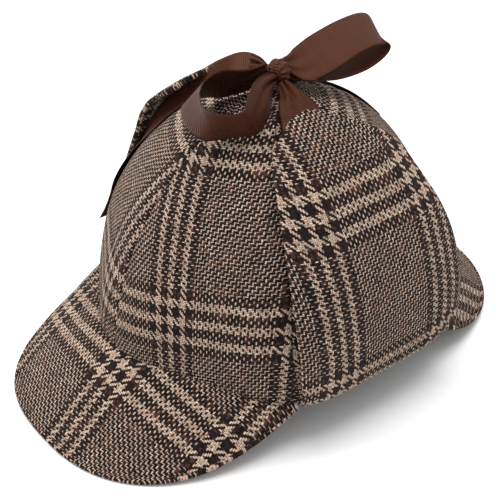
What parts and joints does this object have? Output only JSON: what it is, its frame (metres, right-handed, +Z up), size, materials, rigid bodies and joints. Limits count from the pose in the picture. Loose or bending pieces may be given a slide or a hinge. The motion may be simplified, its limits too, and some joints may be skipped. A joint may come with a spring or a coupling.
{
  "type": "deerstalker hat",
  "caption": "Tweed deerstalker hat with a panelled crown, front and back brims, ear flaps folded up and tied with a ribbon bow on top",
  "frame": {"origin": "middle of the hat's box, on the surface that the brims rest on", "axes": "+Z up, -Y toward the front brim, +X toward the wearer's left"},
  "size_m": [0.1888, 0.2862, 0.1705],
  "materials": {
    "crown_tweed": "glen check tweed in beige, brown black and rust flecks",
    "brim_tweed": "glen check tweed over a stiff brim, with a clean turned edge",
    "flap_tweed": "glen check tweed, folded flap",
    "ribbon": "brown grosgrain ribbon with fine cross ribs"
  },
  "bodies": {
    "root": {"crown_panel_1": "crown_tweed", "crown_panel_2": "crown_tweed", "crown_panel_3": "crown_tweed", "crown_panel_4": "crown_tweed", "crown_panel_5": "crown_tweed", "crown_panel_6": "crown_tweed", "front_brim": "brim_tweed", "back_brim": "brim_tweed", "ear_flap_left": "flap_tweed", "ear_flap_right": "flap_tweed", "tie_left": "ribbon", "tie_right": "ribbon", "bow_knot": "ribbon", "bow_loop_front": "ribbon", "bow_loop_back": "ribbon", "bow_tail_front": "ribbon", "bow_tail_back": "ribbon"}
  },
  "joints": []
}
